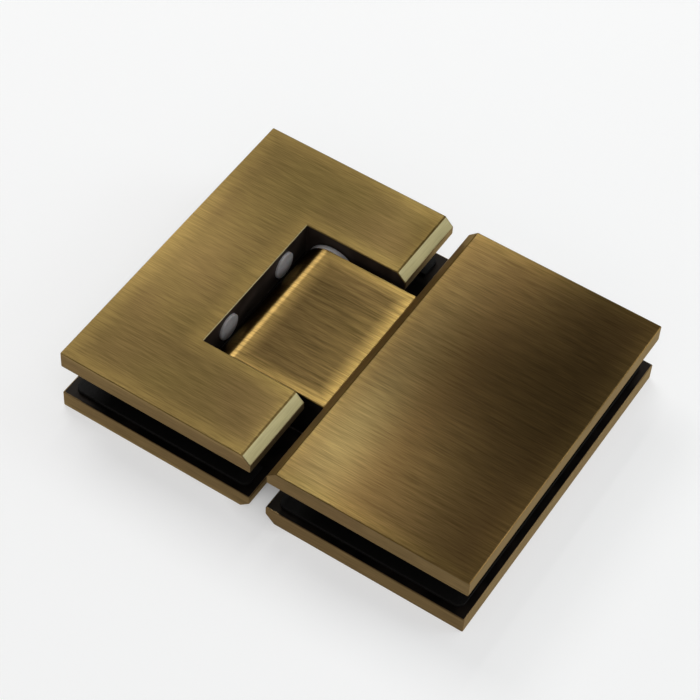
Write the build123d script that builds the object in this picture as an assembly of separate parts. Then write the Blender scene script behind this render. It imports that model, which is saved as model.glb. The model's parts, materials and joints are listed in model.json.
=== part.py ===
from build123d import *
import os

# Glass-to-glass door hinge for a frameless shower door, in millimetres.
#
# Two beveled brass leaves each grip a pane of glass between a front and a back plate. The notched leaf
# holds a steel pin across its notch. The plain leaf carries a pivot block that turns on that pin, and two
# spring plungers in the block press on flats of the pin, so the door returns to its shut position.
#
# The hinge is modelled shut, around its pivot: X runs across the leaves from the notched one to the plain
# one, Y lies along the pin and Z is square to the glass, with Z = 0 in the middle of the glass. The last
# section sets it down on its back plates with the origin under the middle of its outline.

# ---------------------------------------------------------------- leaves
leaf_length = 90.0          # along the pivot
leaf_width = 54.6           # across the pivot, each leaf
leaf_gap = 4.5              # between the leaves when the door is shut
plate_thickness = 5.1
plate_bevel = 2.5           # 45 degree bevel on the outer face, on the edges that face the pivot
edge_break = 0.25           # small chamfer round the other edges of an outer face

glass_thickness = 8.0
gasket_thickness = 1.0
gasket_inset = 2.0          # edge of a plate to the edge of its gasket
gasket_corner = 2.0
gasket_clearance = 0.5      # gasket to the boss or tongue that it lies round

# ---------------------------------------------------------------- notch and its boss
notch_depth = 29.1
notch_width = 44.6
boss_wall = 13.5            # solid metal behind and beside the notch, reaching to the parting line
boss_recess = 4.0           # end of the boss back from the edge of the leaf
boss_corner = 6.0
parting_gap = 0.2           # left between the halves, so that the screws clamp the glass

# ---------------------------------------------------------------- pivot block
block_thickness = 14.5      # also the diameter of its round end, the barrel
barrel_clearance = 1.15     # barrel to the back wall of the notch
tongue_length = 30.0        # part of the block that is clamped between the plain plates
tongue_width = 60.0
tongue_corner = 6.0
tongue_clearance = 0.05     # tongue to each plate

# ---------------------------------------------------------------- pin and bushes
pin_diameter = 8.0
pin_end_wall = 2.8          # boss left beyond each end of the pin
pin_end_clearance = 0.3
pin_end_chamfer = 0.6
pin_seat_clearance = 0.02   # pin in the half round seats of the boss, on the radius
pin_flat_depth = 0.6        # centring flat that the plungers press on
pin_flat_margin = 2.0       # flat beyond the bore of each plunger
lock_flat_depth = 0.5       # flat under each end for its lock screw
lock_flat_margin = 1.0

bush_running_clearance = 0.05   # bush on the pin, on the radius
bush_wall = 1.0
bush_sleeve_length = 9.0
bush_flange_thickness = 1.3
bush_flange_inset = 0.1     # rim of the flange inside the barrel
bush_press_clearance = 0.01
bush_side_gap = 0.3         # flange to the side wall of the notch
pin_relief = 0.4            # block's own bore clear of the pin, between the bushes

# ---------------------------------------------------------------- centring springs
plunger_spacing = 16.0
plunger_diameter = 6.0
plunger_length = 12.0
plunger_chamfer = 0.6
plunger_bore_clearance = 0.1
plunger_pin_clearance = 0.05    # tip to the round of the pin
pip_diameter = 2.8          # guide of the spring on the plunger
pip_length = 3.0
spring_wire_width = 1.3     # flat wire, across the coil
spring_wire_height = 1.5    # and along it
spring_bore_clearance = 0.25
spring_turns = 5.0
adjuster_diameter = 7.0     # screws that close the spring bores and set the spring force
adjuster_length = 7.0
adjuster_recess = 12.0      # mouth of the bore to the screw
adjuster_socket = 3.5       # hexagon, across its flats
adjuster_socket_depth = 3.5

# ---------------------------------------------------------------- stop buffers
buffer_spacing = 24.0
buffer_diameter = 7.2
buffer_depth = 5.0          # held in the back wall of the notch
buffer_cover = 1.7          # metal between a buffer and the outer face of the leaf
buffer_dome = 0.3
buffer_press_clearance = 0.01
stop_gap = 0.2              # dome to the flat of the block when the door stands at a right angle

# ---------------------------------------------------------------- screws
clamp_diameter = 5.0
clamp_head_diameter = 9.8
clamp_head_recess = 0.2     # head below the outer face
clamp_hole_clearance = 0.25
clamp_tip_chamfer = 0.5
clamp_socket = 3.0
clamp_socket_depth = 2.2
tapped_skin = 3.0           # metal between the end of a tapped hole and the front face
tapped_runout = 1.0         # tapped hole beyond the tip of its screw
thread_clearance = 0.03
post_diameter = 9.5         # bosses of the plain front plate, which take the screws inside the tongue
post_clearance = 0.15
post_edge = 8.0             # middle of a post to the side and the end of the tongue
post_bevel_margin = 1.5     # screw head clear of the bevel
lock_diameter = 5.0
lock_length = 5.0
lock_socket = 2.5
lock_socket_depth = 2.2
screw_end_chamfer = 0.5

# ---------------------------------------------------------------- places that follow from the sizes
plate_gap = glass_thickness + 2 * gasket_thickness
half_gap = plate_gap / 2
half_height = half_gap + plate_thickness
half_parting = parting_gap / 2
half_notch = notch_width / 2
barrel_radius = block_thickness / 2
pin_radius = pin_diameter / 2

notch_wall = -(barrel_radius + barrel_clearance)
notched_edge = notch_wall + notch_depth
notched_outer = notched_edge - leaf_width
plain_edge = notched_edge + leaf_gap
plain_outer = plain_edge + leaf_width

boss_back = notch_wall - boss_wall
boss_end = notched_edge - boss_recess
boss_side = half_notch + boss_wall
pin_seat_end = boss_side - pin_end_wall
half_pin = pin_seat_end - pin_end_clearance

half_block = half_notch - bush_side_gap - bush_flange_thickness
tongue_end = plain_edge + tongue_length

clamp_radius = clamp_diameter / 2
clamp_head_height = (clamp_head_diameter - clamp_diameter) / 2
clamp_head_level = half_height - clamp_head_recess
tapped_end = half_height - tapped_skin
clamp_length = clamp_head_level + tapped_end - tapped_runout
notched_screw_y = half_notch + boss_wall / 2
notched_screw_places = [
    (x, y)
    for x in (notch_wall - boss_wall / 2, (pin_radius + boss_end) / 2)
    for y in (-notched_screw_y, notched_screw_y)
]
post_near = plain_edge + plate_bevel + clamp_head_diameter / 2 + post_bevel_margin
post_y = tongue_width / 2 - post_edge
plain_screw_places = [
    (x, y) for x in (post_near, tongue_end - post_edge) for y in (-post_y, post_y)
]
lock_y = (half_notch + pin_seat_end) / 2
lock_flat_level = pin_radius - lock_flat_depth

plunger_tip = pin_radius + plunger_pin_clearance
plunger_back = plunger_tip + plunger_length
adjuster_out = tongue_end - adjuster_recess
adjuster_in = adjuster_out - adjuster_length
buffer_level = half_height - buffer_cover - buffer_diameter / 2
buffer_tip = notch_wall + barrel_clearance - stop_gap

sides = (-1, 1)


# ---------------------------------------------------------------- shapes that several pieces share
def rod_x(radius, start, end, place):
    """A round bar or hole along X from start to end, at a place (Y, Z)."""
    return Pos((start + end) / 2, *place) * Rot(0, 90, 0) * Cylinder(radius, abs(end - start))


def rod_y(radius, start, end):
    """A round bar or hole on the pivot axis from start to end."""
    return Pos(0, (start + end) / 2, 0) * Rot(90, 0, 0) * Cylinder(radius, abs(end - start))


def rod_z(radius, start, end, place):
    """A round bar or hole along Z from start to end, at a place (X, Y)."""
    return Pos(*place, (start + end) / 2) * Cylinder(radius, abs(end - start))


def slab(outline, low, high):
    """A flat outline in the XY plane, raised from one level to another."""
    return Pos(0, 0, low) * extrude(outline, high - low)


def box_between(x_low, x_high, y_low, y_high, z_low, z_high):
    middle = Pos((x_low + x_high) / 2, (y_low + y_high) / 2, (z_low + z_high) / 2)
    return middle * Box(x_high - x_low, y_high - y_low, z_high - z_low)


def outline_between(x_low, x_high, width, radius=0.0):
    """A rectangle from one X to another, centred on the X axis, with rounded corners where asked."""
    length = x_high - x_low
    sheet = RectangleRounded(length, width, radius) if radius else Rectangle(length, width)
    return Pos((x_low + x_high) / 2, 0) * sheet


def hexagon_socket(across_flats, depth):
    """The hole for a hexagon key, open at Z = 0 and reaching down to its depth."""
    return Pos(0, 0, -depth) * extrude(RegularPolygon(across_flats / 2, 6, major_radius=False), depth)


def set_screw(diameter, length, socket, socket_depth):
    """A headless screw along Z with its socket at the top end, Z = 0."""
    blank = Pos(0, 0, -length / 2) * Cylinder(diameter / 2 - thread_clearance, length)
    blank = chamfer(blank.edges().filter_by(GeomType.CIRCLE), screw_end_chamfer)
    return blank - hexagon_socket(socket, socket_depth)


# ---------------------------------------------------------------- leaf plates
def plate(pivot_edge, outer_edge):
    """A front plate: a flat slab whose outer face is beveled along the edge that faces the pivot."""
    inward = plate_bevel if outer_edge > pivot_edge else -plate_bevel
    profile = Polygon(
        (outer_edge, half_gap),
        (pivot_edge, half_gap),
        (pivot_edge, half_height - plate_bevel),
        (pivot_edge + inward, half_height),
        (outer_edge, half_height),
        align=None,
    )
    return extrude(Plane.XZ * profile, leaf_length / 2, both=True)


def break_outer_edges(leaf, bevel_edge):
    """Chamfers the rim of the front face, apart from the edge that already has its bevel."""
    face = leaf.faces().filter_by(Plane.XY).sort_by(Axis.Z)[-1]
    rim = [e for e in face.edges() if abs(e.center().X - bevel_edge) > edge_break]
    return chamfer(rim, edge_break)


def boss_outline(margin=0.0):
    """The boss round the notch, as a full rectangle with rounded back corners."""
    reach = boss_corner + margin
    back = outline_between(boss_back - margin, boss_end, 2 * (boss_side + margin), reach)
    square_end = outline_between(boss_end - reach, boss_end, 2 * (boss_side + margin))
    return back + square_end


def notched_half():
    """What the notched front and back halves have in common: plate, boss, notch and pin seats."""
    leaf = plate(notched_edge, notched_outer)
    leaf += slab(boss_outline(), half_parting, half_gap)
    leaf -= box_between(notch_wall, notched_edge, -half_notch, half_notch, 0, half_height)
    leaf = break_outer_edges(leaf, notched_edge - plate_bevel)
    seat = rod_y(pin_radius + pin_seat_clearance, -pin_seat_end, pin_seat_end)
    leaf -= seat
    for side in sides:
        place = (side * buffer_spacing / 2, buffer_level)
        radius = buffer_diameter / 2 + buffer_press_clearance
        leaf -= rod_x(radius, notch_wall - buffer_depth, notch_wall, place)
    return leaf


def tapped_holes(places):
    radius = clamp_radius
    return [rod_z(radius, 0, tapped_end, place) for place in places]


def countersunk_holes(places):
    """Holes of the back plates, made here from the mid-plane up to the outer face, like the plates."""
    holes = []
    seat_radius = clamp_radius + clamp_hole_clearance
    rim_radius = clamp_head_diameter / 2 + clamp_hole_clearance
    cone_height = rim_radius - seat_radius
    for x, y in places:
        cone_middle = clamp_head_level - cone_height / 2
        holes.append(rod_z(seat_radius, 0, half_height, (x, y)))
        holes.append(Pos(x, y, cone_middle) * Cone(seat_radius, rim_radius, cone_height))
        holes.append(rod_z(rim_radius, clamp_head_level, half_height, (x, y)))
    return holes


def notched_front_leaf():
    return notched_half() - tapped_holes(notched_screw_places)


def notched_back_leaf():
    leaf = notched_half() - countersunk_holes(notched_screw_places)
    for side in sides:
        leaf -= rod_z(lock_diameter / 2, 0, half_height, (0, side * lock_y))
    return mirror(leaf, Plane.XY)


def plain_front_leaf():
    """Front plate of the plain leaf, with a round post down to the parting line at each screw."""
    leaf = break_outer_edges(plate(plain_edge, plain_outer), plain_edge + plate_bevel)
    for place in plain_screw_places:
        leaf += rod_z(post_diameter / 2, half_parting, half_gap, place)
    return leaf - tapped_holes(plain_screw_places)


def plain_back_leaf():
    leaf = break_outer_edges(plate(plain_edge, plain_outer), plain_edge + plate_bevel)
    return mirror(leaf - countersunk_holes(plain_screw_places), Plane.XY)


# ---------------------------------------------------------------- gaskets
def gasket(low_edge, high_edge, hole):
    """A sheet on the inner face of a front plate, cut away round the boss or tongue."""
    sheet = outline_between(
        low_edge + gasket_inset,
        high_edge - gasket_inset,
        leaf_length - 2 * gasket_inset,
        gasket_corner,
    )
    return slab(sheet - hole, half_gap - gasket_thickness, half_gap)


def notched_gasket():
    hole = boss_outline(gasket_clearance) + outline_between(boss_back, notched_edge, 2 * boss_side)
    return gasket(notched_outer, notched_edge, hole)


def plain_gasket():
    return gasket(plain_edge, plain_outer, tongue_outline(gasket_clearance))


# ---------------------------------------------------------------- pivot block
def tongue_outline(margin=0.0):
    """The tongue from the edge of the plain plates to its rounded far corners."""
    reach = tongue_corner + margin
    width = tongue_width + 2 * margin
    far = outline_between(plain_edge, tongue_end + margin, width, reach)
    return far + outline_between(plain_edge, plain_edge + reach, width)


def pivot_block():
    """Barrel and block in one bar that fits the notch, with the thinner tongue that the leaf clamps."""
    barrel = rod_y(barrel_radius, -half_block, half_block)
    bar = box_between(0, plain_edge, -half_block, half_block, -barrel_radius, barrel_radius)
    block = barrel + bar
    tongue_face = half_gap - tongue_clearance
    block += slab(tongue_outline(), -tongue_face, tongue_face)
    block -= rod_y(pin_radius + pin_relief, -half_block, half_block)
    bush_radius = pin_radius + bush_running_clearance + bush_wall + bush_press_clearance
    for side in sides:
        inner = side * (half_block - bush_sleeve_length)
        block -= rod_y(bush_radius, inner, side * half_block)
        place = (side * plunger_spacing / 2, 0)
        plunger_bore = plunger_diameter / 2 + plunger_bore_clearance
        block -= rod_x(plunger_bore, 0, tongue_end, place)
        block -= rod_x(adjuster_diameter / 2, adjuster_in, tongue_end, place)
    for place in plain_screw_places:
        post_hole = post_diameter / 2 + post_clearance
        block -= rod_z(post_hole, 0, half_gap, place)
        screw_hole = clamp_radius + clamp_hole_clearance
        block -= rod_z(screw_hole, -half_gap, 0, place)
    return block


# ---------------------------------------------------------------- pin and bushes
def pivot_pin():
    """Fixed in the notched leaf, with a centring flat towards the plungers and a flat per lock screw."""
    pin = rod_y(pin_radius, -half_pin, half_pin)
    pin = chamfer(pin.edges().filter_by(GeomType.CIRCLE), pin_end_chamfer)
    reach = (plunger_spacing + plunger_diameter) / 2 + pin_flat_margin
    flat = pin_radius - pin_flat_depth
    pin -= box_between(flat, pin_radius, -reach, reach, -pin_radius, pin_radius)
    for side in sides:
        half = lock_diameter / 2 + lock_flat_margin
        middle = side * lock_y
        pin -= box_between(
            -pin_radius, pin_radius, middle - half, middle + half, -pin_radius, -lock_flat_level
        )
    return pin


def bush(side):
    """A nylon bearing pressed in one end of the barrel; its flange runs along the wall of the notch."""
    bore = pin_radius + bush_running_clearance
    flange_face = half_block + bush_flange_thickness
    sleeve_end = half_block - bush_sleeve_length
    body = rod_y(bore + bush_wall, side * sleeve_end, side * half_block)
    flange_radius = barrel_radius - bush_flange_inset
    body += rod_y(flange_radius, side * half_block, side * flange_face)
    return body - rod_y(bore, side * sleeve_end, side * flange_face)


# ---------------------------------------------------------------- centring springs
def plunger(side):
    """Pressed back by the round of the pin, as it is whenever the door is ajar."""
    place = (side * plunger_spacing / 2, 0)
    body = rod_x(plunger_diameter / 2, plunger_tip, plunger_back, place)
    body = chamfer(body.edges().filter_by(GeomType.CIRCLE), plunger_chamfer)
    return body + rod_x(pip_diameter / 2, plunger_back, plunger_back + pip_length, place)


def spring(side):
    """A coil of flat wire between its plunger and its adjuster, with both ends ground flat."""
    outer_radius = plunger_diameter / 2 + plunger_bore_clearance - spring_bore_clearance
    coil_radius = outer_radius - spring_wire_width / 2
    length = adjuster_in - plunger_back
    y = side * plunger_spacing / 2
    path = Helix(
        length / spring_turns, length, coil_radius, center=(plunger_back, y, 0), direction=(1, 0, 0)
    )
    section = Plane(path @ 0, x_dir=path @ 0 - Vector(plunger_back, y, 0), z_dir=path % 0)
    wire = section * Rectangle(spring_wire_width, spring_wire_height)
    coil = sweep(wire, path, is_frenet=True)
    room = rod_x(outer_radius + spring_wire_width, plunger_back, adjuster_in, (y, 0))
    return coil & room


def spring_adjuster(side):
    screw = set_screw(adjuster_diameter, adjuster_length, adjuster_socket, adjuster_socket_depth)
    return Pos(adjuster_out, side * plunger_spacing / 2, 0) * Rot(0, 90, 0) * screw


# ---------------------------------------------------------------- stop buffers
def stop_buffer(side, level):
    """A nylon plug in the back wall of the notch; its dome cushions the block at a right angle."""
    radius = buffer_diameter / 2
    shoulder = buffer_tip - buffer_dome
    dome_radius = (radius**2 + buffer_dome**2) / (2 * buffer_dome)
    place = (side * buffer_spacing / 2, level)
    plug = rod_x(radius, notch_wall - buffer_depth, buffer_tip, place)
    ball = Pos(buffer_tip - dome_radius, *place) * Sphere(dome_radius)
    root = rod_x(radius, notch_wall - buffer_depth, shoulder, place)
    return root + (plug & ball)


# ---------------------------------------------------------------- screws
def clamp_screw(place):
    """A countersunk screw from the back plate into the front one."""
    shank_radius = clamp_radius - thread_clearance
    screw = Pos(0, 0, -clamp_length / 2) * Cylinder(shank_radius, clamp_length)
    screw = chamfer(screw.edges().sort_by(Axis.Z)[0], clamp_tip_chamfer)
    head = Cone(shank_radius, clamp_head_diameter / 2, clamp_head_height)
    screw += Pos(0, 0, -clamp_head_height / 2) * head
    screw -= hexagon_socket(clamp_socket, clamp_socket_depth)
    return Pos(*place, -clamp_head_level) * Rot(180, 0, 0) * screw


def pin_lock_screw(side):
    """A set screw in the back half of the leg that keeps the pin from turning."""
    screw = set_screw(lock_diameter, lock_length, lock_socket, lock_socket_depth)
    top = lock_flat_level + lock_length
    return Pos(0, side * lock_y, -top) * Rot(180, 0, 0) * screw


# ---------------------------------------------------------------- the whole hinge
pieces = {
    "notched_front_leaf": notched_front_leaf(),
    "notched_back_leaf": notched_back_leaf(),
    "notched_front_gasket": notched_gasket(),
    "notched_back_gasket": mirror(notched_gasket(), Plane.XY),
    "pivot_pin": pivot_pin(),
    "plain_front_leaf": plain_front_leaf(),
    "plain_back_leaf": plain_back_leaf(),
    "plain_front_gasket": plain_gasket(),
    "plain_back_gasket": mirror(plain_gasket(), Plane.XY),
    "pivot_block": pivot_block(),
}
for number, side in enumerate(sides, 1):
    pieces[f"pin_lock_screw_{number}"] = pin_lock_screw(side)
    pieces[f"front_stop_buffer_{number}"] = stop_buffer(side, buffer_level)
    pieces[f"back_stop_buffer_{number}"] = stop_buffer(side, -buffer_level)
    pieces[f"pin_bush_{number}"] = bush(side)
    pieces[f"plunger_{number}"] = plunger(side)
    pieces[f"plunger_spring_{number}"] = spring(side)
    pieces[f"spring_adjuster_{number}"] = spring_adjuster(side)
for number, place in enumerate(notched_screw_places, 1):
    pieces[f"notched_clamp_screw_{number}"] = clamp_screw(place)
for number, place in enumerate(plain_screw_places, 1):
    pieces[f"plain_clamp_screw_{number}"] = clamp_screw(place)

on_its_back = Pos(-(notched_outer + plain_outer) / 2, 0, half_height)
os.makedirs("parts", exist_ok=True)
for name, piece in pieces.items():
    export_step(on_its_back * piece, f"parts/{name}.step")
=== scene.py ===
import json
import math

import bmesh
import bpy
from mathutils import Matrix, Vector


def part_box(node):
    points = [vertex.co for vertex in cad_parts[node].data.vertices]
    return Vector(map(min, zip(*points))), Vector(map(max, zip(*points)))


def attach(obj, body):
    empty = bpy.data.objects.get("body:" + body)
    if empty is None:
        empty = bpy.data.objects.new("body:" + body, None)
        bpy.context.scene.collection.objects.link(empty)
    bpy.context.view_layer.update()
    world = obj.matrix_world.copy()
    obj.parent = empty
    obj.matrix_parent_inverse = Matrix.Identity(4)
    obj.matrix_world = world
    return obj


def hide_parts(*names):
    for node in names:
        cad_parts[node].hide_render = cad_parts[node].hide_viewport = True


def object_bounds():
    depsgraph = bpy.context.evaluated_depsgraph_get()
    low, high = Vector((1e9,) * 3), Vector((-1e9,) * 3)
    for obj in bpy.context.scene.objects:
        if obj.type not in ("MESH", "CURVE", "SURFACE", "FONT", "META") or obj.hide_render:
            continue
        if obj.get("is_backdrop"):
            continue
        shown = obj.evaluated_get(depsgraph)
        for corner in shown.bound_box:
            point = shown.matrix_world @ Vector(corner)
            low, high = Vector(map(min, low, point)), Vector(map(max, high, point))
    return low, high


# A door hinge that joins two panes of glass, put together in the order of this file: the notched leaf with
# its pin and buffers, the pivot block with its bushes and springs, and the plain leaf that the block carries.
# Sizes are in millimetres; the frame, and each finished mesh, is in metres.
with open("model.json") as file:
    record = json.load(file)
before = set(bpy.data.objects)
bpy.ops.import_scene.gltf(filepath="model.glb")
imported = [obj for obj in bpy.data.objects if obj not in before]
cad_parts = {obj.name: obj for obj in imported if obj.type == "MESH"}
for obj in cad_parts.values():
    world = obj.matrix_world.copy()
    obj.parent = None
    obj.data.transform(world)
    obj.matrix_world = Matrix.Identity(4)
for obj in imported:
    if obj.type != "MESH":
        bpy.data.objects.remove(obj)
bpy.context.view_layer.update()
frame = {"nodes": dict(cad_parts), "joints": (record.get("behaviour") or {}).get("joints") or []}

# ---------------------------------------------------------------- notched front leaf
# The front half of the leaf on the fixed pane: a brass plate with a notch for the pivot, and a boss left
# standing round the notch on its inner face. It is milled from bar, brushed along its width and darkened.
# Its outer faces are lighter near their edges, partly wear and partly painted highlight, and carry soft
# spots of painted highlight and painted shade; the faces inside are nearly black.
MM = 0.001
X, Y, Z = Vector((1, 0, 0)), Vector((0, 1, 0)), Vector((0, 0, 1))
notch_depth = 29.1
half_notch = 22.3
boss_wall = 13.5
boss_recess = 4.0
boss_corner = 6.0
plate_bevel = 2.5
edge_round = 0.3
overshoot = 1.0  # how far a cutter runs past the face that it cuts
near_enough = 0.01  # how close a point is to a face or an edge that it counts as being on
facing = 0.6  # how much of an axis is in the normal of a face that faces along it
flat_angle = math.radians(1)
sharp_angle = math.radians(30)


def box_of(node):
    """Lowest and highest corners of a node of the frame, in millimetres."""
    return [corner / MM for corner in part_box(node)]


leaf_low, leaf_high = box_of("notched_front_leaf")
inner_level = box_of("notched_front_gasket")[1].z
outer_level, parting_level = leaf_high.z, leaf_low.z
pivot = Vector(frame["joints"][0]["pos_m"]) / MM
notch_wall = leaf_high.x - notch_depth
boss_back = notch_wall - boss_wall
boss_end = leaf_high.x - boss_recess
boss_side = half_notch + boss_wall
half_pin = box_of("pivot_pin")[1].y
pin_end_gap = 0.3
pin_seat_radius = 4.02


def new_sheet(low, high, level):
    """A bmesh with one rectangular face at a level."""
    bm = bmesh.new()
    middle = Matrix.Translation(((low.x + high.x) / 2, (low.y + high.y) / 2, level))
    size = Matrix.Diagonal((high.x - low.x, high.y - low.y, 1, 1))
    bmesh.ops.create_grid(bm, x_segments=1, y_segments=1, size=0.5, matrix=middle @ size)
    return bm


def score(bm, axis, *places):
    """Cuts lines right across a sheet, square to an axis."""
    for place in places:
        everything = bm.verts[:] + bm.edges[:] + bm.faces[:]
        bmesh.ops.bisect_plane(bm, geom=everything, dist=0.001, plane_co=axis * place, plane_no=axis)


def faces_within(bm, low_x, high_x, half_width):
    """Faces whose middle lies between two values of X and near enough to the middle of the leaf."""
    middles = [(face, face.calc_center_median()) for face in bm.faces]
    return [face for face, at in middles if low_x < at.x < high_x and abs(at.y) < half_width]


def grow(bm, faces, along, keep=False):
    """Pulls faces out into a solid; with keep, the sheet they came from closes its other side."""
    made = bmesh.ops.extrude_face_region(bm, geom=faces, use_keep_orig=True)
    moved = [part for part in made["geom"] if isinstance(part, bmesh.types.BMVert)]
    bmesh.ops.translate(bm, verts=moved, vec=along)
    if not keep:
        bmesh.ops.delete(bm, geom=faces, context="FACES_ONLY")


def close_up(bm):
    """Points the faces outwards and joins those that lie in one plane."""
    bmesh.ops.recalc_face_normals(bm, faces=bm.faces)
    bmesh.ops.dissolve_limit(bm, angle_limit=flat_angle, verts=bm.verts, edges=bm.edges)


def bevel(bm, edges, width, segments):
    """Bevels edges by a width, flat with one segment and round with more."""
    bmesh.ops.bevel(
        bm, geom=edges, offset=width, segments=segments, profile=0.5, affect="EDGES", material=-1,
        offset_type="OFFSET", clamp_overlap=True,
    )


def edges_where(bm, test):
    """Edges whose two ends both pass a test of their place."""
    return [edge for edge in bm.edges if all(test(vert.co) for vert in edge.verts)]


def round_corners(bm, x, half_width, radius):
    """Rounds the two upright corners of a slab at one X."""
    def at_corner(co):
        return abs(co.x - x) < near_enough and abs(abs(co.y) - half_width) < near_enough
    lines = [(edge, edge.verts[0].co - edge.verts[1].co) for edge in edges_where(bm, at_corner)]
    upright = [edge for edge, line in lines if abs(line.z) > near_enough]
    bevel(bm, upright, radius, segments=10)


def bevel_plate(bm, x):
    """Planes the 45 degree bevel along the outer edge that faces the pivot."""
    def on_edge(co):
        return abs(co.x - x) < near_enough and co.z > outer_level - near_enough
    bevel(bm, edges_where(bm, on_edge), plate_bevel, segments=1)


def break_edges(bm, width=edge_round, segments=3):
    """Rounds every sharp edge a little, as tumbling and rubbing do."""
    sharp = [edge for edge in bm.edges if edge.calc_face_angle(0) > sharp_angle]
    bevel(bm, sharp, width, segments)


def notched_half():
    """A plate with its notch and its boss, before it is drilled."""
    bm = new_sheet(leaf_low, leaf_high, inner_level)
    score(bm, X, boss_back, notch_wall, boss_end)
    score(bm, Y, -boss_side, -half_notch, half_notch, boss_side)
    bmesh.ops.delete(bm, geom=faces_within(bm, notch_wall, leaf_high.x, half_notch), context="FACES")
    boss = faces_within(bm, boss_back, boss_end, boss_side)
    grow(bm, bm.faces[:], Z * (outer_level - inner_level), keep=True)
    grow(bm, boss, Z * (parting_level - inner_level))
    close_up(bm)
    round_corners(bm, boss_back, boss_side, boss_corner)
    bevel_plate(bm, leaf_high.x)
    break_edges(bm)
    return bm


def turn(bm, profile, place, steps=48):
    """Turns a profile of (radius, height) points about its own axis, and sets it in place."""
    before = set(bm.verts)
    points = [bm.verts.new((radius, 0, height)) for radius, height in profile]
    lines = [bm.edges.new(pair) for pair in zip(points, points[1:])]
    bmesh.ops.spin(bm, geom=points + lines, axis=Z, angle=math.tau, steps=steps, use_merge=True)
    made = [vert for vert in bm.verts if vert not in before]
    bmesh.ops.remove_doubles(bm, verts=made, dist=0.0005)
    made = [vert for vert in bm.verts if vert not in before]
    faces = dict.fromkeys(face for vert in made for face in vert.link_faces)
    bmesh.ops.recalc_face_normals(bm, faces=list(faces))
    bmesh.ops.transform(bm, matrix=place, verts=made)


def drill(radius, start, end):
    """The profile of a plain round hole or bar."""
    return [(0, start), (radius, start), (radius, end), (0, end)]


along_x = Matrix.Rotation(math.radians(90), 4, "Y")
along_y = Matrix.Rotation(math.radians(-90), 4, "X")


def combined(solid, tool, operation="DIFFERENCE"):
    """The solid with a tool's shape cut from it or joined to it. Both are used up."""
    pair = []
    for shape in (solid, tool):
        thing = bpy.data.objects.new("work", bpy.data.meshes.new("work"))
        shape.to_mesh(thing.data)
        shape.free()
        bpy.context.scene.collection.objects.link(thing)
        pair.append(thing)
    work = pair[0].modifiers.new("work", "BOOLEAN")
    work.operation = operation
    work.solver = "EXACT"
    work.object = pair[1]
    result = bmesh.new()
    result.from_object(pair[0], bpy.context.evaluated_depsgraph_get())
    bmesh.ops.dissolve_degenerate(result, edges=result.edges, dist=0.001)
    for thing in pair:
        bpy.data.meshes.remove(thing.data)
    return result


def seat_pin(bm):
    """The half round seat that the pin lies in, across both legs of the boss."""
    tool = bmesh.new()
    reach = half_pin + pin_end_gap
    turn(tool, drill(pin_seat_radius, -reach, reach), Matrix.Translation(pivot) @ along_y)
    return combined(bm, tool)


buffer_boxes = [box_of(f"front_stop_buffer_{number}") for number in (1, 2)]
buffer_depth = notch_wall - buffer_boxes[0][0].x
buffer_radius = (buffer_boxes[0][1].y - buffer_boxes[0][0].y) / 2
clamp_boxes = [box_of(f"notched_clamp_screw_{number}") for number in (1, 2, 3, 4)]
buffer_clearance = 0.01
clamp_radius = 2.5
tapped_skin = 3.0


def over_middle(box, level=0):
    """The place at a level of Z that lies over the middle of a box."""
    low, high = box
    return Matrix.Translation(((low.x + high.x) / 2, (low.y + high.y) / 2, level))


def drill_half(bm, upright_hole):
    """Drills the four holes along Z for the clamp screws, and the two blind holes of the buffers."""
    tool = bmesh.new()
    for box in clamp_boxes:
        turn(tool, upright_hole, over_middle(box))
    buffer_hole = drill(buffer_radius + buffer_clearance, -buffer_depth, overshoot)
    for low, high in buffer_boxes:
        place = Matrix.Translation((notch_wall, (low.y + high.y) / 2, (low.z + high.z) / 2))
        turn(tool, buffer_hole, place @ along_x)
    return combined(bm, tool)


def new_group(name, inputs, outputs):
    """A shader node group with named inputs and outputs, and its two end nodes."""
    group = bpy.data.node_groups.new(name, "ShaderNodeTree")
    for label, default in inputs.items():
        socket = group.interface.new_socket(label, in_out="INPUT", socket_type="NodeSocketFloat")
        socket.default_value = default
    for label in outputs:
        group.interface.new_socket(label, in_out="OUTPUT", socket_type="NodeSocketFloat")
    return group, group.nodes.new("NodeGroupInput"), group.nodes.new("NodeGroupOutput")


# Brush lines follow the map that lay_brush_lines makes: U counts metres across the lines, V along them.
brush_group, given, made = new_group(
    "brush lines", {"Across": 3600.0, "Along": 140.0}, ["Lines", "Bands", "Clouds"]
)
brush_map = brush_group.nodes.new("ShaderNodeUVMap")
brush_map.uv_map = "brush"
stretch = brush_group.nodes.new("ShaderNodeCombineXYZ")
stretched = brush_group.nodes.new("ShaderNodeVectorMath")
stretched.operation = "MULTIPLY"
brush_group.links.new(given.outputs["Across"], stretch.inputs["X"])
brush_group.links.new(given.outputs["Along"], stretch.inputs["Y"])
brush_group.links.new(brush_map.outputs["UV"], stretched.inputs[0])
brush_group.links.new(stretch.outputs["Vector"], stretched.inputs[1])
for label, source, scale, detail in (
    ("Lines", stretched.outputs["Vector"], 1.0, 2.0),
    ("Bands", stretched.outputs["Vector"], 0.3, 1.0),
    ("Clouds", brush_map.outputs["UV"], 38.0, 1.0),
):
    texture = brush_group.nodes.new("ShaderNodeTexNoise")
    texture.noise_dimensions = "2D"
    texture.inputs["Scale"].default_value = scale
    texture.inputs["Detail"].default_value = detail
    texture.inputs["Roughness"].default_value = 0.55
    brush_group.links.new(source, texture.inputs["Vector"])
    brush_group.links.new(texture.outputs["Fac"], made.inputs[label])


def vector_node(tree, operation, first, second=None):
    """A step of vector arithmetic; each side is a socket or three numbers."""
    step = tree.nodes.new("ShaderNodeVectorMath")
    step.operation = operation
    for side, value in enumerate((first, second)):
        if isinstance(value, bpy.types.NodeSocket):
            tree.links.new(value, step.inputs[side])
        elif value is not None:
            step.inputs[side].default_value = value
    return step.outputs["Value" if operation == "LENGTH" else "Vector"]


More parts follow.
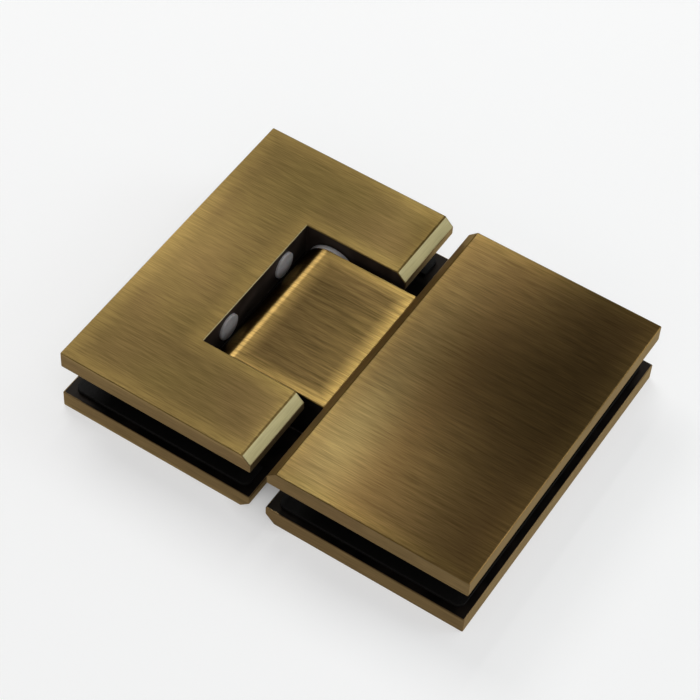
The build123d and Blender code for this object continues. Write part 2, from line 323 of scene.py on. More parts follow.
def number_node(tree, operation, first, second=0.0):
    """A step of arithmetic; each side is a socket or a number."""
    step = tree.nodes.new("ShaderNodeMath")
    step.operation = operation
    for side, value in enumerate((first, second)):
        if isinstance(value, bpy.types.NodeSocket):
            tree.links.new(value, step.inputs[side])
        else:
            step.inputs[side].default_value = value
    return step.outputs["Value"]


# How near a place is to the outline of a rectangle, and to the outer face: where the brass is made lighter,
# partly as wear and partly as painted highlight.
rub_and_highlight_group, given, made = new_group(
    "rubbed edge",
    {
        "Middle": 0.0, "Half Length": 0.03, "Half Width": 0.045,
        "Level": pivot.z * MM, "Half Height": pivot.z * MM, "Reach": 0.006,
    },
    ["Rub"],
)
coordinates = rub_and_highlight_group.nodes.new("ShaderNodeTexCoord")
middle = rub_and_highlight_group.nodes.new("ShaderNodeCombineXYZ")
half = rub_and_highlight_group.nodes.new("ShaderNodeCombineXYZ")
for label, node, axis in (
    ("Middle", middle, "X"), ("Level", middle, "Z"),
    ("Half Length", half, "X"), ("Half Width", half, "Y"), ("Half Height", half, "Z"),
):
    rub_and_highlight_group.links.new(given.outputs[label], node.inputs[axis])
beyond = vector_node(
    rub_and_highlight_group, "SUBTRACT",
    vector_node(
        rub_and_highlight_group, "ABSOLUTE",
        vector_node(rub_and_highlight_group, "SUBTRACT", coordinates.outputs["Object"], middle.outputs["Vector"]),
    ),
    half.outputs["Vector"],
)
parts = rub_and_highlight_group.nodes.new("ShaderNodeSeparateXYZ")
rub_and_highlight_group.links.new(beyond, parts.inputs["Vector"])
flat = vector_node(rub_and_highlight_group, "MULTIPLY", beyond, (1, 1, 0))
outside = vector_node(rub_and_highlight_group, "LENGTH", vector_node(rub_and_highlight_group, "MAXIMUM", flat, (0, 0, 0)))
inside = number_node(
    rub_and_highlight_group, "MINIMUM", number_node(rub_and_highlight_group, "MAXIMUM", parts.outputs["X"], parts.outputs["Y"]), 0.0
)
away = number_node(rub_and_highlight_group, "ABSOLUTE", number_node(rub_and_highlight_group, "ADD", outside, inside))
near = rub_and_highlight_group.nodes.new("ShaderNodeMapRange")
near.interpolation_type = "SMOOTHSTEP"
near.inputs["To Min"].default_value = 1.0
near.inputs["To Max"].default_value = 0.0
rub_and_highlight_group.links.new(away, near.inputs["Value"])
rub_and_highlight_group.links.new(given.outputs["Reach"], near.inputs["From Max"])
# From 0.3 mm to 1.6 mm below the outer face the lightening fades, to a little that goes all the way down.
on_top = rub_and_highlight_group.nodes.new("ShaderNodeMapRange")
on_top.interpolation_type = "SMOOTHSTEP"
on_top.inputs["From Min"].default_value = -1.6 * MM
on_top.inputs["From Max"].default_value = -0.3 * MM
on_top.inputs["To Min"].default_value = 0.15
rub_and_highlight_group.links.new(parts.outputs["Z"], on_top.inputs["Value"])
rub_and_highlight_group.links.new(
    number_node(rub_and_highlight_group, "MULTIPLY", near.outputs["Result"], on_top.outputs["Result"]), made.inputs["Rub"]
)


def colour_ramp(tree, source, stops):
    """Turns a value into a colour, by stops of (position, colour)."""
    ramp = tree.nodes.new("ShaderNodeValToRGB")
    for index, (position, colour) in enumerate(stops):
        stop = ramp.color_ramp.elements[index] if index < 2 else ramp.color_ramp.elements.new(position)
        stop.position = position
        stop.color = (*colour, 1)
    tree.links.new(source, ramp.inputs["Fac"])
    return ramp.outputs["Color"]


def value_range(tree, source, low, high, from_low=0.3, from_high=0.7):
    """Stretches the part of a value that lies from from_low to from_high over a new range."""
    mapped = tree.nodes.new("ShaderNodeMapRange")
    mapped.inputs["From Min"].default_value = from_low
    mapped.inputs["From Max"].default_value = from_high
    mapped.inputs["To Min"].default_value = low
    mapped.inputs["To Max"].default_value = high
    tree.links.new(source, mapped.inputs["Value"])
    return mapped.outputs["Result"]


def new_material(name):
    """A material, its node tree and its main shader."""
    material = bpy.data.materials.new(name)
    material.use_nodes = True
    return material, material.node_tree, material.node_tree.nodes["Principled BSDF"]


def mixed_colour(tree, factor, first, second):
    """One colour over another, by a factor; each colour is a socket or three numbers."""
    mix = tree.nodes.new("ShaderNodeMix")
    mix.data_type = "RGBA"
    tree.links.new(factor, mix.inputs["Factor"])
    # The node has an A, a B and a Result for each kind of data; these are the ones for colours.
    for socket, colour in ((mix.inputs[6], first), (mix.inputs[7], second)):
        if isinstance(colour, bpy.types.NodeSocket):
            tree.links.new(colour, socket)
        else:
            socket.default_value = (*colour, 1)
    return mix.outputs[2]


def antique_brass(
    name, outlines, painted_light_spots, colours, rubbed_and_lit, across=3600, bands=0.25, contrast=0.22, reach=6.0
):
    """Brass brushed one way, darkened, and lighter near its edges as wear and painted highlight.

    Its two colours lie over it in clouds, lighter and darker from line to line by the contrast. Near the
    edges that the outlines give, each as (middle X, half length, half width, half height), it turns to a
    brighter colour over the reach, partly wear from rubbing and partly painted highlight. Each painted light
    spot, as (X, Y, radius along X, radius along Y, gains), is a soft painted highlight where its gains are
    above one and a soft painted shade where they are below one; its gains multiply red, green and blue."""
    material, tree, skin = new_material(name)
    brush = tree.nodes.new("ShaderNodeGroup")
    brush.node_tree = brush_group
    brush.inputs["Across"].default_value = across
    worn_and_lit = None
    for outline in outlines:
        rub_and_highlight = tree.nodes.new("ShaderNodeGroup")
        rub_and_highlight.node_tree = rub_and_highlight_group
        for label, size in zip(("Middle", "Half Length", "Half Width", "Half Height"), outline):
            rub_and_highlight.inputs[label].default_value = size * MM
        rub_and_highlight.inputs["Reach"].default_value = reach * MM
        worn_and_lit = number_node(tree, "MAXIMUM", rub_and_highlight.outputs["Rub"], worn_and_lit) if worn_and_lit else rub_and_highlight.outputs["Rub"]

    pattern = number_node(
        tree, "ADD",
        number_node(tree, "MULTIPLY", brush.outputs["Lines"], 1 - bands),
        number_node(tree, "MULTIPLY", brush.outputs["Bands"], bands),
    )

    def shades(colour):
        darker = tuple(part * (1 - contrast) for part in colour)
        lighter = tuple(part * (1 + contrast) for part in colour)
        return colour_ramp(tree, pattern, [(0.3, darker), (0.7, lighter)])

    cloudy = value_range(tree, brush.outputs["Clouds"], 0.0, 1.0)
    tint = mixed_colour(tree, cloudy, shades(colours[0]), shades(colours[1]))
    tint = mixed_colour(tree, worn_and_lit, tint, shades(rubbed_and_lit))
    coordinates = tree.nodes.new("ShaderNodeTexCoord")
    for x, y, radius_x, radius_y, gain in painted_light_spots:
        from_painted_spot = tree.nodes.new("ShaderNodeMapping")
        from_painted_spot.vector_type = "TEXTURE"
        from_painted_spot.inputs["Location"].default_value = (x * MM, y * MM, outer_level * MM)
        from_painted_spot.inputs["Scale"].default_value = (radius_x * MM, radius_y * MM, 1)
        tree.links.new(coordinates.outputs["Object"], from_painted_spot.inputs["Vector"])
        away = tree.nodes.new("ShaderNodeMapRange")
        away.interpolation_type = "SMOOTHSTEP"
        tree.links.new(vector_node(tree, "LENGTH", from_painted_spot.outputs["Vector"]), away.inputs["Value"])
        soft = mixed_colour(tree, away.outputs["Result"], gain, (1, 1, 1))
        tint = vector_node(tree, "MULTIPLY", tint, soft)
    tree.links.new(tint, skin.inputs["Base Color"])
    tree.links.new(value_range(tree, brush.outputs["Lines"], 0.290, 0.278), skin.inputs["Roughness"])
    skin.inputs["Metallic"].default_value = 1.0
    skin.inputs["Specular Tint"].default_value = (1.0, 0.85, 0.6, 1)
    skin.inputs["Anisotropic"].default_value = 1.0
    across_lines = tree.nodes.new("ShaderNodeTangent")
    across_lines.direction_type = "UV_MAP"
    across_lines.uv_map = "brush"
    tree.links.new(across_lines.outputs["Tangent"], skin.inputs["Tangent"])
    return material


# The notch's own outline runs on far past the edge of the leaf, so only its three real sides are lightened.
half_leaf = (leaf_high - leaf_low) / 2
half_height = outer_level - pivot.z
notch_reach = 25.0
notched_outlines = [
    ((leaf_low.x + leaf_high.x) / 2, half_leaf.x, half_leaf.y, half_height),
    (notch_wall + notch_reach, notch_reach, half_notch, half_height),
]
# Two soft spots paint light and shade: a lighter one over the outer end of the leaf is a painted highlight,
# and a darker one at its back corner by the notch is painted shade.
brushed = antique_brass(
    "brushed antique brass", notched_outlines,
    [
        (leaf_low.x + 5, 0, 25, 36, (1.65, 1.65, 1.65)),
        (leaf_high.x - 1, 36, 12, 22, (0.55, 0.53, 0.5)),
    ],
    colours=((0.153, 0.106, 0.035), (0.144, 0.094, 0.035)), rubbed_and_lit=(0.215, 0.145, 0.048),
)
# The bevel gets a paler, greyer brass: a painted highlight, the reflection of the lights that it faces.
bevel_painted_highlight = antique_brass(
    "bevel brass with painted highlight", notched_outlines, [],
    colours=((0.215, 0.180, 0.090), (0.205, 0.170, 0.082)), rubbed_and_lit=(0.250, 0.210, 0.110), contrast=0.1,
)
# The sides get a greyer brass than the tops: a painted reflection of the pale table that they face.
sides_with_painted_reflection = antique_brass(
    "brushed brass of the sides with painted reflection", notched_outlines, [],
    colours=((0.170, 0.114, 0.052), (0.160, 0.103, 0.050)), rubbed_and_lit=(0.240, 0.163, 0.072),
)

# A grain without direction, all through a material: cloudy, pitted or turned, by its scale and its detail.
grain_group, given, made = new_group("grain", {"Scale": 1000.0, "Detail": 2.0}, ["Grain"])
coordinates = grain_group.nodes.new("ShaderNodeTexCoord")
texture = grain_group.nodes.new("ShaderNodeTexNoise")
grain_group.links.new(coordinates.outputs["Object"], texture.inputs["Vector"])
for label in ("Scale", "Detail"):
    grain_group.links.new(given.outputs[label], texture.inputs[label])
grain_group.links.new(texture.outputs["Fac"], made.inputs["Grain"])


def grained(name, scale, detail, darker, lighter, roughness, constants, depth=0.0, dark_below=0.3):
    """A material whose grain changes its shade and its gloss, and with a depth also its relief. Constants
    are the values of other sockets of its shader."""
    material, tree, skin = new_material(name)
    group = tree.nodes.new("ShaderNodeGroup")
    group.node_tree = grain_group
    group.inputs["Scale"].default_value = scale
    group.inputs["Detail"].default_value = detail
    grain = group.outputs["Grain"]
    shade = colour_ramp(tree, grain, [(dark_below, darker), (0.7, lighter)])
    tree.links.new(shade, skin.inputs["Base Color"])
    tree.links.new(value_range(tree, grain, *roughness), skin.inputs["Roughness"])
    for label, value in constants.items():
        skin.inputs[label].default_value = value
    if depth:
        bump = tree.nodes.new("ShaderNodeBump")
        bump.inputs["Strength"].default_value = 1.0
        bump.inputs["Distance"].default_value = depth * MM
        tree.links.new(grain, bump.inputs["Height"])
        tree.links.new(bump.outputs["Normal"], skin.inputs["Normal"])
    return material


# The faces inside the leaves, the tongue and the bore of the pin are made near black, and cloudy. The walls
# of the notch are a little less dark.
near_black = grained(
    "blackened brass", scale=220.0, detail=5.0, darker=(0.006, 0.0045, 0.0035),
    lighter=(0.016, 0.011, 0.008), roughness=(0.4, 0.6), constants={"Metallic": 0.85}, dark_below=0.35,
)
notch_brass = grained(
    "blackened walls of the notch", scale=220.0, detail=5.0, darker=(0.028, 0.019, 0.015),
    lighter=(0.052, 0.035, 0.026), roughness=(0.4, 0.6), constants={"Metallic": 0.45}, dark_below=0.35,
)


def lay_brush_lines(bm):
    """Maps each face so that the lines run along the leaf's width, and along the length on the faces that
    close it off at either end."""
    layer = bm.loops.layers.uv.new("brush")
    for face in bm.faces:
        if abs(face.normal.x) > facing:
            across, along = Z, Y
        elif abs(face.normal.y) > facing:
            across, along = Z, X
        else:
            across, along = Y, X
        for loop in face.loops:
            loop[layer].uv = loop.vert.co.dot(across) * MM, loop.vert.co.dot(along) * MM


def shade_evenly(piece):
    """Lets the large faces of a piece set the shading of the narrow ones beside them."""
    even = piece.modifiers.new("even shading", "WEIGHTED_NORMAL")
    even.weight = 80
    even.keep_sharp = True


def finish(name, bm, body, materials, node):
    """Makes a bmesh a piece of the hinge, which moves with its body and stands for a node of the frame."""
    bmesh.ops.scale(bm, vec=(MM, MM, MM), verts=bm.verts)
    for edge in bm.edges:
        edge.smooth = edge.calc_face_angle(math.pi) < sharp_angle + flat_angle
    mesh = bpy.data.meshes.new(name)
    bm.to_mesh(mesh)
    bm.free()
    for material in materials:
        mesh.materials.append(material)
    mesh.shade_smooth()
    piece = bpy.data.objects.new(name, mesh)
    bpy.context.scene.collection.objects.link(piece)
    shade_evenly(piece)
    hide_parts(node)
    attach(piece, body)


def choose_skins(bm, skins, skin_at):
    """Gives each face one of the skins, from the face's middle and its normal."""
    for face in bm.faces:
        face.material_index = skins.index(skin_at(face.calc_center_median(), face.normal))


leaf_skins = [brushed, near_black, bevel_painted_highlight, notch_brass, sides_with_painted_reflection]
corner_margin = 0.4
upward = 0.5


def skin_of_notched_leaf(at, normal):
    """Brushed outside with a painted highlight on the bevel and a painted reflection on the sides, black in
    the notch and on the inner side.
    """
    outside = at.z > inner_level + near_enough
    if outside and normal.z > upward:
        return bevel_painted_highlight if normal.x > facing else brushed
    along_notch = notch_wall - near_enough <= at.x < leaf_high.x - corner_margin
    if along_notch and abs(at.y) <= half_notch + near_enough:
        return notch_brass
    return sides_with_painted_reflection if outside else near_black


tapped = drill(clamp_radius, pivot.z, outer_level - tapped_skin)
front_half = drill_half(seat_pin(notched_half()), tapped)
choose_skins(front_half, leaf_skins, skin_of_notched_leaf)
lay_brush_lines(front_half)
finish("notched_front_plate", front_half, "notched_leaf", leaf_skins, "notched_front_leaf")

# ---------------------------------------------------------------- notched back leaf
# The back half: the same plate and boss turned over, drilled and countersunk for the four clamp screws,
# with a threaded hole in each leg for the screw that locks the pin.
head_radius = 5.15
head_recess = 0.2
hole_radius = 2.75
lock_boxes = [box_of(f"pin_lock_screw_{number}") for number in (1, 2)]
lock_radius = 2.5
seat_level = outer_level - head_recess
countersunk = [
    (0, pivot.z), (hole_radius, pivot.z), (hole_radius, seat_level - head_radius + hole_radius),
    (head_radius, seat_level), (head_radius, outer_level - edge_round / 2),
    (head_radius + edge_round, outer_level + edge_round / 2),
    (head_radius + edge_round, outer_level + overshoot), (0, outer_level + overshoot),
]


def turn_over(bm):
    """Turns a front half into a back half, in the mid-plane of the glass."""
    over = Matrix.Translation(Z * 2 * pivot.z) @ Matrix.Diagonal((1, 1, -1, 1))
    bmesh.ops.transform(bm, matrix=over, verts=bm.verts)
    bmesh.ops.reverse_faces(bm, faces=bm.faces)


back_half = drill_half(seat_pin(notched_half()), countersunk)
lock_holes = bmesh.new()
for box in lock_boxes:
    turn(lock_holes, drill(lock_radius, pivot.z, outer_level + overshoot), over_middle(box))
back_half = combined(back_half, lock_holes)
choose_skins(back_half, leaf_skins, skin_of_notched_leaf)
turn_over(back_half)
lay_brush_lines(back_half)
finish("notched_back_plate", back_half, "notched_leaf", leaf_skins, "notched_back_leaf")

# ---------------------------------------------------------------- gaskets
# Sheets of black rubber that lie between the glass and the brass, punched out round the boss on one leaf
# and round the tongue of the pivot block on the other.
gasket_corner = 2.0
gasket_hole_corner = 6.5
gasket_clearance = 0.5
gasket_edge = 0.12

rubber = grained(
    "black sheet rubber", scale=3500.0, detail=2.0, darker=(0.003, 0.0026, 0.0022),
    lighter=(0.006, 0.0052, 0.0044), roughness=(0.5, 0.7), constants={"Specular IOR Level": 0.15}, depth=0.02,
)


def gasket(node, open_edge, hole_end, hole_half):
    """Punches a gasket out of a sheet, open on the side of the pivot, its hole centred on the leaf."""
    low, high = box_of(node)
    bm = new_sheet(low, high, low.z)
    score(bm, X, hole_end)
    score(bm, Y, -hole_half, hole_half)
    hole = faces_within(bm, min(open_edge, hole_end), max(open_edge, hole_end), hole_half)
    bmesh.ops.delete(bm, geom=hole, context="FACES")
    grow(bm, bm.faces[:], Z * (high.z - low.z), keep=True)
    close_up(bm)
    round_corners(bm, low.x, high.y, gasket_corner)
    round_corners(bm, high.x, high.y, gasket_corner)
    round_corners(bm, hole_end, hole_half, gasket_hole_corner)
    break_edges(bm, gasket_edge, segments=2)
    return bm


for side in ("front", "back"):
    node = f"notched_{side}_gasket"
    sheet = gasket(node, leaf_high.x, boss_back - gasket_clearance, boss_side + gasket_clearance)
    finish(f"notched_{side}_seal", sheet, "notched_leaf", [rubber], node)

# ---------------------------------------------------------------- stop buffers
# Four plugs of grey nylon, turned with a low dome and pushed into blind holes in the back wall of the notch,
# two to each half. The pivot block comes to rest against them when the door stands at a right angle.
buffer_edge = 0.35
dome_rise = 0.3

nylon = grained(
    "grey nylon", scale=900.0, detail=4.0, darker=(0.33, 0.310, 0.310), lighter=(0.40, 0.380, 0.380),
    roughness=(0.32, 0.46), constants={"Subsurface Weight": 0.15, "Subsurface Scale": 1.5 * MM}, depth=0.01,
)


def arc(middle, radius, start, end, steps):
    """Points of an arc in a profile, by its middle, its radius and two angles in degrees."""
    angles = [math.radians(start + (end - start) * step / steps) for step in range(steps + 1)]
    x, y = middle
    return [(x + radius * math.cos(angle), y + radius * math.sin(angle)) for angle in angles]


for side in ("front", "back"):
    for number in (1, 2):
        node = f"{side}_stop_buffer_{number}"
        low, high = box_of(node)
        length = high.x - low.x
        rim_middle = (buffer_radius - buffer_edge, length - dome_rise - buffer_edge)
        rim = arc(rim_middle, buffer_edge, start=0, end=80, steps=6)
        half_dome = rim[-1][0]
        dome_radius = (half_dome ** 2 + dome_rise ** 2) / (2 * dome_rise)
        dome_start = 90 - math.degrees(math.asin(half_dome / dome_radius))
        dome = arc((0, length - dome_radius), dome_radius, start=dome_start, end=90, steps=8)
        plug = bmesh.new()
        place = Matrix.Translation((low.x, (low.y + high.y) / 2, (low.z + high.z) / 2)) @ along_x
        turn(plug, [(0, 0), (buffer_radius, 0)] + rim + dome[1:-1] + [(0, length)], place)
        finish(f"{side}_buffer_{number}", plug, "notched_leaf", [nylon], node)

# ---------------------------------------------------------------- clamp screws
# Stainless countersunk screws with a hexagon socket, which draw the two halves of a leaf together on the
# glass. They go in from the back, so the front shows no fixing.
screw_edge = 0.12
socket_across = 3.0
socket_depth = 2.2
head_land = 0.25
tip_chamfer = 0.5
thread_clearance = 0.03
shank_radius = clamp_radius - thread_clearance

steel = grained(
    "turned stainless steel", scale=1600.0, detail=5.0, darker=(0.42, 0.41, 0.40),
    lighter=(0.58, 0.57, 0.56), roughness=(0.22, 0.36), constants={"Metallic": 1.0}, depth=0.004,
)


def clamp_screw(node, body):
    """Turns a screw that stands head down in the box of its node, and broaches its socket."""
    low, high = box_of(node)
    length = high.z - low.z
    head = (high.x - low.x) / 2
    screw = bmesh.new()
    profile = [
        (0, 0), (head, 0), (head, head_land), (shank_radius, head_land + head - shank_radius),
        (shank_radius, length - tip_chamfer), (shank_radius - tip_chamfer, length), (0, length),
    ]
    place = over_middle((low, high), low.z)
    turn(screw, profile, place)
    break_edges(screw, screw_edge, segments=2)
    socket = bmesh.new()
    socket_radius = socket_across / math.sqrt(3)
    bmesh.ops.create_cone(
        socket, cap_ends=True, segments=6, radius1=socket_radius, radius2=socket_radius,
        depth=2 * socket_depth, matrix=place,
    )
    screw = combined(screw, socket)
    finish(node.replace("clamp", "countersunk"), screw, body, [steel], node)


for number in (1, 2, 3, 4):
    clamp_screw(f"notched_clamp_screw_{number}", "notched_leaf")

# ---------------------------------------------------------------- pin and its lock screws
# A ground steel pin that lies in the two seats of the boss. A socket set screw in each leg bears on a flat
# at each end of it, so the pin stands still and the block turns round it.


def soften(node, material, width=0.08):
    """Keeps a node of the frame, with a material, its edges a little rounded and its round faces smooth."""
    piece = frame["nodes"][node]
    piece.data.materials.clear()
    piece.data.materials.append(material)
    piece.data.shade_smooth()
    weld = piece.modifiers.new("weld", "WELD")
    weld.merge_threshold = 0.001 * MM
    flats = piece.modifiers.new("flats", "DECIMATE")
    flats.decimate_type = "DISSOLVE"
    flats.angle_limit = math.radians(0.5)
    edges = piece.modifiers.new("edges", "BEVEL")
    edges.width = width * MM
    edges.segments = 2
    edges.angle_limit = sharp_angle
    shade_evenly(piece)


soften("pivot_pin", steel)
for number in (1, 2):
    soften(f"pin_lock_screw_{number}", steel)

# ---------------------------------------------------------------- pivot block
# The moving half of the hinge, milled from one brass bar: a round-ended bar that turns on the pin in the
# notch, and a thinner tongue with rounded corners that the plain leaf clamps.
block_low, block_high = box_of("pivot_block")
barrel_radius = (block_high.z - block_low.z) / 2
plain_edge = box_of("plain_front_leaf")[0].x
flange_thickness = 1.3
half_block = box_of("pin_bush_2")[1].y - flange_thickness
tongue_clearance = 0.05
tongue_half_thickness = inner_level - pivot.z - tongue_clearance
tongue_corner = 6.0

# The crest of the round end is lightened as an edge is, a painted highlight, so the outline begins there,
# just behind the pivot.
crest_highlight_start = pivot.x - 1.5
# A darker spot over the middle of the bar is painted shade. The lighter edge by the plain leaf is partly wear
# and partly a painted reflection of that leaf's lit bevel.
coarse = antique_brass(
    "coarsely brushed antique brass",
    [((crest_highlight_start + plain_edge) / 2, (plain_edge - crest_highlight_start) / 2, half_block, barrel_radius)],
    [(plain_edge - 8, 0, 18, 40, (0.75, 0.75, 0.75))],
    colours=((0.114, 0.074, 0.025), (0.107, 0.067, 0.025)), rubbed_and_lit=(0.265, 0.172, 0.055),
    across=2800, bands=0.45, contrast=0.40, reach=5.0,
)


def pivot_bar():
    """The bar with its round end, drawn from the side and pulled out along the pin."""
    bm = bmesh.new()
    start = bm.verts.new(pivot + Z * barrel_radius - Y * half_block)
    bmesh.ops.spin(bm, geom=[start], cent=pivot, axis=-Y, angle=math.pi, steps=32)
    ends = [vert for vert in bm.verts if len(vert.link_edges) == 1]
    ends.sort(key=lambda vert: vert.co.z)
    far = [bm.verts.new((plain_edge, vert.co.y, vert.co.z)) for vert in ends]
    bm.edges.new((ends[0], far[0]))
    bm.edges.new((ends[1], far[1]))
    bm.edges.new(far)
    bmesh.ops.edgeloop_fill(bm, edges=bm.edges)
    grow(bm, bm.faces[:], Y * 2 * half_block, keep=True)
    bmesh.ops.recalc_face_normals(bm, faces=bm.faces)
    return bm


def tongue():
    """The slab that goes in between the plain plates."""
    low, high = Vector((plain_edge, block_low.y, 0)), Vector((block_high.x, block_high.y, 0))
    bm = new_sheet(low, high, pivot.z - tongue_half_thickness)
    grow(bm, bm.faces[:], Z * 2 * tongue_half_thickness, keep=True)
    bmesh.ops.recalc_face_normals(bm, faces=bm.faces)
    round_corners(bm, block_high.x, block_high.y, tongue_corner)
    return bm


plain_clamp_boxes = [box_of(f"plain_clamp_screw_{number}") for number in (1, 2, 3, 4)]
adjuster_boxes = [box_of(f"spring_adjuster_{number}") for number in (1, 2)]
pin_bore_radius = 4.4
bush_bore_radius = 5.06
bush_bore_depth = 9.0
plunger_bore_radius = 3.1
adjuster_bore_radius = 3.5
post_radius = 4.75
post_bore_radius = post_radius + 0.15
post_bore_end = 8.0

block = combined(pivot_bar(), tongue(), "UNION")
break_edges(block)
pin_bore = bmesh.new()
profile = [
    (0, -half_block - overshoot), (bush_bore_radius, -half_block - overshoot),
    (bush_bore_radius, bush_bore_depth - half_block), (pin_bore_radius, bush_bore_depth - half_block),
]
profile += [(radius, -height) for radius, height in reversed(profile)]
turn(pin_bore, profile, Matrix.Translation(pivot) @ along_y)
block = combined(block, pin_bore)
bores = bmesh.new()
for low, high in adjuster_boxes:
    seat = low.x - pivot.x
    end = block_high.x - pivot.x + overshoot
    profile = [
        (0, 0), (plunger_bore_radius, 0), (plunger_bore_radius, seat), (adjuster_bore_radius, seat),
        (adjuster_bore_radius, end), (0, end),
    ]
    turn(bores, profile, Matrix.Translation((pivot.x, (low.y + high.y) / 2, pivot.z)) @ along_x)
for box in plain_clamp_boxes:
    profile = [
        (0, -post_bore_end), (hole_radius, -post_bore_end), (hole_radius, 0), (post_bore_radius, 0),
        (post_bore_radius, post_bore_end), (0, post_bore_end),
    ]
    turn(bores, profile, over_middle(box, pivot.z))
block = combined(block, bores)
block_skins = [coarse, near_black]
tongue_start = plain_edge - 0.05
bore_reach = bush_bore_radius + 0.14


def skin_of_block(at, normal):
    """Brushed on the bar, black on the tongue and in the bore of the pin."""
    in_bore = (at - pivot).xz.length < bore_reach
    return near_black if at.x > tongue_start or in_bore else coarse


choose_skins(block, block_skins, skin_of_block)


def lay_round_brush_lines(bm):
    """Maps the bar so that its lines follow the round end without a break."""
    lay_brush_lines(bm)
    layer = bm.loops.layers.uv["brush"]
    for face in bm.faces:
        at = face.calc_center_median()
        if at.x > pivot.x or abs(face.normal.y) > facing or skin_of_block(at, face.normal) != coarse:
            continue
        for loop in face.loops:
            out = loop.vert.co - pivot
            turned = math.atan2(-out.x, out.z) * barrel_radius
            loop[layer].uv = out.y * MM, (pivot.x - turned) * MM


lay_round_brush_lines(block)
finish("pivot_bar", block, "plain_leaf", block_skins, "pivot_block")

# ---------------------------------------------------------------- bushes
# Grey nylon bearings pressed into the ends of the bar. Their flanges keep the brass of the block off the
# walls of the notch.
bush_edge = 0.15
bush_radius = 4.05
sleeve_radius = 5.05
sleeve_start = half_block - bush_bore_depth
for number, way in ((1, -1), (2, 1)):
    node = f"pin_bush_{number}"
    low, high = box_of(node)
    flange_radius = (high.z - low.z) / 2
    flange_end = max(abs(low.y), abs(high.y))
    profile = [
        (bush_radius, sleeve_start), (sleeve_radius, sleeve_start), (sleeve_radius, half_block),
        (flange_radius, half_block), (flange_radius, flange_end), (bush_radius, flange_end),
        (bush_radius, sleeve_start),
    ]
    bearing = bmesh.new()
    place = Matrix.Translation(pivot) @ along_y @ Matrix.Diagonal((1, 1, way, 1))
    turn(bearing, profile, place, steps=64)
    bmesh.ops.recalc_face_normals(bearing, faces=bearing.faces)
    break_edges(bearing, bush_edge, segments=2)
    finish(f"bearing_{number}", bearing, "plain_leaf", [nylon], node)

# ---------------------------------------------------------------- centring springs
# Two steel plungers press on a flat of the pin, each with a flat-wire coil spring behind it and a socket
# screw that sets its force from the end of the tongue.
spring_steel = grained(
    "oiled spring steel", scale=500.0, detail=2.0, darker=(0.12, 0.12, 0.13), lighter=(0.26, 0.26, 0.28),
    roughness=(0.25, 0.4), constants={"Metallic": 1.0},
)
for number in (1, 2):
    soften(f"plunger_{number}", steel)
    soften(f"plunger_spring_{number}", spring_steel, width=0.05)
    soften(f"spring_adjuster_{number}", steel)

# ---------------------------------------------------------------- plain leaf
# The leaf on the door pane: two bevelled brass plates that clamp the tongue and the glass. The front plate
# stands on four round posts, threaded for the screws that come through the back plate.
plain_low, plain_high = box_of("plain_front_leaf")
half_plain = (plain_high - plain_low) / 2
# The spots paint light and shade: a darker middle and back and a darker front corner by the bevel are painted
# shade, a bright band near the bevel and lighter front and back ends of the outer edge are painted highlight,
# and a cooler band near the bevel is a painted reflection of the cool tube.
plain_brass = antique_brass(
    "brushed antique brass of the plain leaf",
    [((plain_low.x + plain_high.x) / 2, half_plain.x, half_plain.y, half_height)],
    [
        (28, 9, 40, 48, (0.35, 0.34, 0.34)),
        (13, -32, 14, 36, (1.36, 1.46, 1.5)),
        (8, -48, 18, 16, (0.68, 0.68, 0.68)),
        (57, 42, 18, 20, (1.4, 1.38, 1.35)),
        (57, -28, 16, 34, (1.35, 1.3, 1.3)),
        (12, -5, 14, 70, (0.93, 1.02, 1.08)),
    ],
    colours=((0.134, 0.082, 0.030), (0.129, 0.078, 0.029)), rubbed_and_lit=(0.176, 0.110, 0.037),
    bands=0.35, contrast=0.28,
)


def plain_plate():
    """A plate with its bevel, before it is drilled."""
    bm = new_sheet(plain_low, plain_high, inner_level)
    grow(bm, bm.faces[:], Z * (outer_level - inner_level), keep=True)
    bmesh.ops.recalc_face_normals(bm, faces=bm.faces)
    bevel_plate(bm, plain_low.x)
    break_edges(bm)
    return bm


def at_plain_screws(profile):
    """Turns a profile about the axis of each of the leaf's four clamp screws."""
    bm = bmesh.new()
    for box in plain_clamp_boxes:
        turn(bm, profile, over_middle(box))
    return bm


plain_skins = [plain_brass, near_black, sides_with_painted_reflection]


def skin_of_plain_leaf(at, normal):
    """Brushed on the outside, its sides greyer with a painted reflection, and black on the inner side."""
    if at.z <= inner_level + near_enough:
        return near_black
    return sides_with_painted_reflection if normal.z < upward else plain_brass


posts = at_plain_screws(drill(post_radius, parting_level, inner_level + overshoot))
front_plate = combined(plain_plate(), posts, "UNION")
front_plate = combined(front_plate, at_plain_screws(tapped))
back_plate = combined(plain_plate(), at_plain_screws(countersunk))
for side, plate in (("front", front_plate), ("back", back_plate)):
    choose_skins(plate, plain_skins, skin_of_plain_leaf)
    if side == "back":
        turn_over(plate)
    lay_brush_lines(plate)
    finish(f"plain_{side}_plate", plate, "plain_leaf", plain_skins, f"plain_{side}_leaf")

for side in ("front", "back"):
    node = f"plain_{side}_gasket"
    sheet = gasket(node, plain_edge, block_high.x + gasket_clearance, block_high.y + gasket_clearance)
    finish(f"plain_{side}_seal", sheet, "plain_leaf", [rubber], node)
for number in (1, 2, 3, 4):
    clamp_screw(f"plain_clamp_screw_{number}", "plain_leaf")

